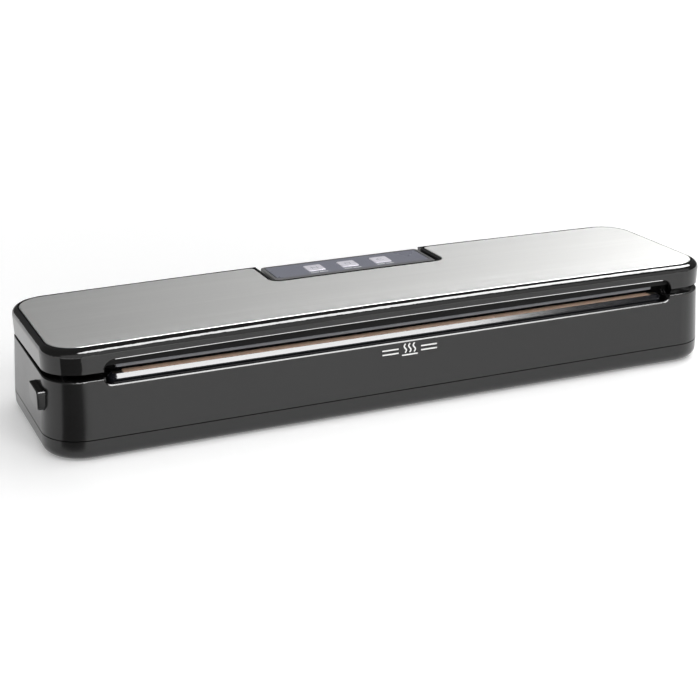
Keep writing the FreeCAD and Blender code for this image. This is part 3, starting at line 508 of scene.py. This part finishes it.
def add_slab(mesh, loop):
    """Adds a flat closed solid with the outline, PRINT_THICK deep, its outer face at Z 0."""
    top = [mesh.verts.new((p.x, p.y, 0.0)) for p in loop]
    low = [mesh.verts.new((p.x, p.y, -PRINT_THICK)) for p in loop]
    mesh.faces.new(top)
    mesh.faces.new(low[::-1])
    for i in range(len(loop)):
        j = (i + 1) % len(loop)
        mesh.faces.new((low[i], low[j], top[j], top[i]))


def printed(name, strokes, place, body, material):
    """One printed mark from strokes of (points, width) in millimetres, laid on a surface."""
    mesh = bmesh.new()
    for points, width in strokes:
        strip(mesh, [Vector(p) * MM for p in points], width * MM)
    mesh.transform(place)
    piece = add_mesh(name, mesh, material)
    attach(piece, body)


def wave(x, y0, y1, swing, steps=16):
    """A rising wavy line, as in a heat sign."""
    rise = [i / steps for i in range(steps + 1)]
    return [(x + swing * math.sin(2 * math.pi * t), y0 + (y1 - y0) * t) for t in rise]


def arc(cx, cy, r, start, end, steps=12):
    turns = [math.radians(start + (end - start) * i / steps) for i in range(steps + 1)]
    return [(cx + r * math.cos(t), cy + r * math.sin(t)) for t in turns]


def surface(origin, right, up):
    """The place of a mark: its X runs to the right, its Y up the surface, its Z outward."""
    right = Vector(right).normalized()
    up = Vector(up)
    outward = right.cross(up).normalized()
    up = outward.cross(right)
    turned = Matrix((right, up, outward)).transposed().to_4x4()
    return Matrix.Translation(Vector(origin)) @ turned


def front_wall(z):
    """A point in the middle of the case's drafted front wall, and the way up that wall."""
    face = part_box("base_shell")[0].y
    wall = [v.co for v in nodes["base_shell"].data.vertices if v.co.y < face + WALL_DRAFT]
    low = min(wall, key=lambda p: p.z)
    high = max(wall, key=lambda p: p.z)
    slope = Vector((0, high.y - face, high.z - low.z))
    return Vector((0, face, low.z)) + slope * (z - low.z) / slope.z, slope


def heat_sign(material):
    """A generic sign for a hot surface: three rising waves over a bar, and two bars on each side."""
    lines = [wave(x, -1.2, 3.2, 0.6) for x in (-2.6, 0.0, 2.6)]
    lines.append([(-4.2, -2.6), (4.2, -2.6)])
    for side in (-1, 1):
        for y in (1.1, -1.1):
            lines.append([(side * 6.8, y), (side * 15.4, y)])
    strokes = [(line, HEAT_SIGN_WIDTH) for line in lines]
    origin, up = front_wall(HEAT_SIGN_Z)
    place = surface(origin + Vector((0, -PRINT_THICK, 0)), (1, 0, 0), up)
    printed("heat_sign", strokes, place, "base", material)


def key_marks(material):
    """A small sign on each key: a sealed bag, a stop square and a bag being emptied."""
    square = [(-1.4, -1.4), (1.4, -1.4), (1.4, 1.4), (-1.4, 1.4), (-1.4, -1.4)]
    signs = {
        "left": [([(-2.4, 0), (2.4, 0)], 0.5), ([(-1.6, -1.7), (-1.6, 1.7)], 0.3),
                 ([(1.6, -1.7), (1.6, 1.7)], 0.3)],
        "middle": [(square[i:i + 2], 0.35) for i in range(4)],
        "right": [(arc(0, 0, 2.0, 40, 320), 0.35), ([(-2.6, 0), (0.6, 0)], 0.4)],
    }
    for side, strokes in signs.items():
        low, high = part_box("key_" + side)
        centre = Vector(((low.x + high.x) / 2, (low.y + high.y) / 2, high.z + PRINT_THICK))
        place = surface(centre, (1, 0, 0), (0, 1, 0))
        printed("key_sign_" + side, strokes, place, side + "_key", material)


def captions(material):
    """A generic pair of short bars on the panel in front of each key, in place of its name."""
    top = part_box("panel_overlay")[1].z + PRINT_THICK
    for side in ("left", "middle", "right"):
        low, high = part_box("key_" + side)
        centre = Vector(((low.x + high.x) / 2, low.y - CAPTION_GAP, top))
        strokes = [([(-4.8, 0), (-0.9, 0)], CAPTION_WIDTH), ([(0.6, 0), (4.8, 0)], CAPTION_WIDTH)]
        place = surface(centre, (1, 0, 0), (0, 1, 0))
        printed("caption_" + side, strokes, place, "base", material)


# ------------------------------------------------------------------ release spring

SPRING_TURNS = 5
SPRING_STEPS = 20
WIRE_SIDES = 10
WIRE_RADIUS = 0.3 * MM


def wire_ring(mesh, centre, outward):
    """A ring of points round the wire at one place along the coil."""
    turns = [2 * math.pi * k / WIRE_SIDES for k in range(WIRE_SIDES)]
    spokes = [math.cos(t) * outward + math.sin(t) * Vector((1, 0, 0)) for t in turns]
    return [mesh.verts.new(centre + WIRE_RADIUS * spoke) for spoke in spokes]


def wound_wire(low, high):
    """A coil of wire along X that fills the box."""
    middle = (low + high) / 2
    radius = (high.z - low.z) / 2 - WIRE_RADIUS
    length = high.x - low.x - 2 * WIRE_RADIUS
    count = SPRING_TURNS * SPRING_STEPS
    mesh = bmesh.new()
    rings = []
    for i in range(count + 1):
        turn = 2 * math.pi * i / SPRING_STEPS
        outward = Vector((0, math.cos(turn), math.sin(turn)))
        along = low.x + WIRE_RADIUS + length * i / count
        centre = Vector((along, middle.y, middle.z)) + outward * radius
        rings.append(wire_ring(mesh, centre, outward))
    for ring, following in zip(rings, rings[1:]):
        for k in range(WIRE_SIDES):
            n = (k + 1) % WIRE_SIDES
            mesh.faces.new((ring[k], following[k], following[n], ring[n])).smooth = True
    mesh.faces.new(rings[0])
    mesh.faces.new(rings[-1][::-1])
    return mesh


def release_coil():
    """The release slide's spring as a wound wire, built at one length; it does not shorten here as
    the slide is pushed in.
    """
    low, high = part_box("release_spring")
    piece = add_mesh("release_coil", wound_wire(low, high), screw_steel().material)
    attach(piece, "base")
    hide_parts("release_spring")
    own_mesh(piece)


# ------------------------------------------------------------------ camera, table, light

def camera():
    ahead = Vector((math.sin(CAMERA_YAW) * math.cos(CAMERA_PITCH),
                    math.cos(CAMERA_YAW) * math.cos(CAMERA_PITCH), -math.sin(CAMERA_PITCH)))
    right = ahead.cross(Vector((0, 0, 1))).normalized()
    up = right.cross(ahead)
    rolled_right = math.cos(CAMERA_ROLL) * right + math.sin(CAMERA_ROLL) * up
    rolled_up = math.cos(CAMERA_ROLL) * up - math.sin(CAMERA_ROLL) * right
    data = bpy.data.cameras.new("camera")
    data.sensor_width = SENSOR
    data.lens = CAMERA_LENS
    data.clip_start = 0.01
    made = add_object("camera", data)
    made.matrix_world = Matrix((rolled_right, rolled_up, -ahead)).transposed().to_4x4()
    made.location = CAMERA_PLACE
    bpy.context.scene.camera = made


def table():
    """A white table that glows a little, more so far from the object."""
    look = Look("table_white", Roughness=0.6)
    look.colour(look.noise(3, 2), (0.89, 0.89, 0.89), (0.91, 0.91, 0.91))
    look.shader.inputs["Emission Color"].default_value = (1, 1, 1, 1)
    away = look.node("ShaderNodeVectorMath", operation="LENGTH")
    look.link(look.place, away.inputs[0])
    glow = look.ranged(away.outputs["Value"], TABLE_GLOW, TABLE_FAR_GLOW,
                       TABLE_GLOW_START, TABLE_GLOW_END)
    look.link(glow, look.shader.inputs["Emission Strength"])
    half = TABLE_SIZE / 2
    corners = [(-half, -half, 0), (half, -half, 0), (half, half, 0), (-half, half, 0)]
    add_flat("table", corners, look.material)


def softbox(name, place, aim, size, level, glossy_only=False, diffuse_only=False):
    """A rectangular area light at a place, facing another, of a given radiance."""
    data = bpy.data.lights.new(name, "AREA")
    data.shape = "RECTANGLE"
    data.size, data.size_y = size
    data.energy = level * math.pi * size[0] * size[1]
    made = add_object(name, data)
    ahead = (Vector(aim) - Vector(place)).normalized()
    made.matrix_world = ahead.to_track_quat("-Z", "Y").to_matrix().to_4x4()
    made.location = place
    made.visible_camera = False
    made.visible_diffuse = not glossy_only
    made.visible_glossy = not diffuse_only
    return made


def overhead():
    """The long light over the table, seen as the highlight along the lid's front edge."""
    below = (*OVERHEAD_PLACE[:2], 0)
    made = softbox("overhead", OVERHEAD_PLACE, below, OVERHEAD_SIZE, OVERHEAD_LEVEL, glossy_only=True)
    made.rotation_mode = "XYZ"
    made.rotation_euler = (0, 0, OVERHEAD_TURN)


def dark_card():
    """A dark wedge on the table off the left front corner, seen only as a reflection in it."""
    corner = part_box("base_shell")[0] + Vector((CARD_INSET, CARD_INSET, 0))
    near, far = CARD_REACH
    first, last = CARD_ANGLES
    corners = []
    for reach, angle in ((near, first), (near, last), (far, last), (far, first)):
        corners.append((corner.x + reach * math.cos(angle), corner.y + reach * math.sin(angle),
                        CARD_HEIGHT))
    look = Look("card_black", Roughness=0.9)
    look.colour(look.noise(3, 2), (0.009, 0.009, 0.009), (0.011, 0.011, 0.011))
    made = add_flat("dark_card", corners, look.material)
    made.visible_camera = False
    made.visible_diffuse = False
    made.visible_shadow = False


def studio():
    """The room: dim for the light that falls on the object, white where the picture shows it."""
    world = bpy.data.worlds.new("studio")
    world.use_nodes = True
    tree = world.node_tree
    background = tree.nodes["Background"]
    background.inputs["Color"].default_value = (1, 1, 1, 1)
    path = tree.nodes.new("ShaderNodeLightPath")
    level = tree.nodes.new("ShaderNodeMapRange")
    level.inputs["To Min"].default_value = WORLD_LEVEL
    level.inputs["To Max"].default_value = BACKGROUND_LEVEL
    tree.links.new(path.outputs["Is Camera Ray"], level.inputs["Value"])
    tree.links.new(level.outputs["Result"], background.inputs["Strength"])
    bpy.context.scene.world = world
    bpy.context.scene.view_settings.view_transform = "Standard"


def lights():
    overhead()
    softbox("fill", **FILL, diffuse_only=True)
    softbox("front", **FRONT, diffuse_only=True)
    softbox("horizon", **HORIZON, glossy_only=True)
    dark_card()


finish_nodes()
white_ink = print_white()
heat_sign(white_ink)
key_marks(print_grey())
captions(white_ink)
release_coil()
camera()
table()
studio()
lights()
